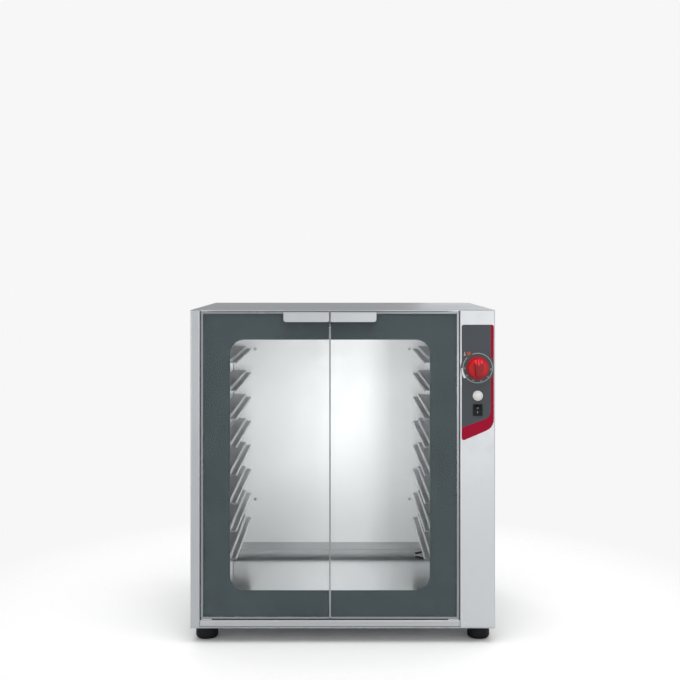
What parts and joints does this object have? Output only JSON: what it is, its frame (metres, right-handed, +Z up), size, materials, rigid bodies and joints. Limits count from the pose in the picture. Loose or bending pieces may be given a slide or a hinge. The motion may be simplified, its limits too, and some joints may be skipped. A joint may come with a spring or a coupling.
{
  "type": "proofing cabinet",
  "caption": "Upright steel proofing cabinet with two framed glass doors on pivots, stepped tray runners and a side column with knob, lamp and rocker.",
  "frame": {"origin": "on the floor under the middle of the whole object, knob and cable gland included", "axes": "+X to the right seen from the front, +Y from the doors to the back, +Z up"},
  "size_m": [0.8, 0.6474, 0.875],
  "materials": {
    "brushed_steel": "brushed stainless sheet",
    "liner_steel": "smooth stainless sheet",
    "galvanised": "plain zinc coated sheet",
    "trim_metal": "satin stainless",
    "handle_steel": "satin stainless",
    "heater_steel": "dark annealed stainless",
    "border_print": "dark grey enamel on the back of the glass",
    "overlay_film": "satin printed film",
    "glass": "clear toughened glass",
    "red_plastic": "glossy moulded",
    "black_plastic": "satin moulded",
    "white_plastic": "moulded",
    "black_rubber": "matte",
    "grey_rubber": "soft silicone"
  },
  "bodies": {
    "cabinet": {"base_pan": "brushed_steel", "front_sill": "brushed_steel", "left_side_panel": "brushed_steel", "right_side_panel": "brushed_steel", "top_panel": "brushed_steel", "back_panel": "galvanised", "control_column": "brushed_steel", "control_overlay": "overlay_film", "chamber_left_wall": "liner_steel", "chamber_right_wall": "liner_steel", "chamber_ceiling": "liner_steel", "chamber_floor": "liner_steel", "chamber_back_wall": "liner_steel", "mouth_frame": "brushed_steel", "mouth_gasket": "grey_rubber", "air_baffle": "liner_steel", "runner_left_1": "liner_steel", "runner_left_2": "liner_steel", "runner_left_3": "liner_steel", "runner_left_4": "liner_steel", "runner_left_5": "liner_steel", "runner_left_6": "liner_steel", "runner_left_7": "liner_steel", "runner_left_8": "liner_steel", "runner_right_1": "liner_steel", "runner_right_2": "liner_steel", "runner_right_3": "liner_steel", "runner_right_4": "liner_steel", "runner_right_5": "liner_steel", "runner_right_6": "liner_steel", "runner_right_7": "liner_steel", "runner_right_8": "liner_steel", "heating_element": "heater_steel", "element_bracket": "galvanised", "thermostat_body": "black_plastic", "thermostat_probe": "black_plastic", "pilot_lamp": "white_plastic", "switch_housing": "black_plastic", "terminal_block": "white_plastic", "cable_gland": "black_plastic", "foot_front_left": "black_rubber", "foot_front_right": "black_rubber", "foot_rear_left": "black_rubber", "foot_rear_right": "black_rubber", "left_top_pivot": "trim_metal", "left_bottom_pivot": "trim_metal", "right_top_pivot": "trim_metal", "right_bottom_pivot": "trim_metal"},
    "left_door": {"left_glass": "glass", "left_border_print": "border_print", "left_edge_trim": "trim_metal", "left_handle": "handle_steel"},
    "right_door": {"right_glass": "glass", "right_border_print": "border_print", "right_edge_trim": "trim_metal", "right_handle": "handle_steel", "meeting_seal": "grey_rubber"},
    "knob": {"temperature_knob": "red_plastic", "thermostat_spindle": "heater_steel"},
    "rocker": {"switch_rocker": "black_plastic"}
  },
  "joints": [
    {"name": "left_door_swing", "type": "hinge", "parent": "cabinet", "child": "left_door", "pos_m": [-0.361, -0.2926, 0.065], "axis": [0, 0, -1], "range_deg": [0, 110]},
    {"name": "right_door_swing", "type": "hinge", "parent": "cabinet", "child": "right_door", "pos_m": [0.294, -0.2926, 0.065], "axis": [0, 0, 1], "range_deg": [0, 110]},
    {"name": "knob_turn", "type": "hinge", "parent": "cabinet", "child": "knob", "pos_m": [0.354, -0.2987, 0.723], "axis": [0, 1, 0], "range_deg": [0, 270]},
    {"name": "rocker_tip", "type": "hinge", "parent": "cabinet", "child": "rocker", "pos_m": [0.354, -0.2926, 0.613], "axis": [-1, 0, 0], "range_deg": [0, 16]}
  ]
}
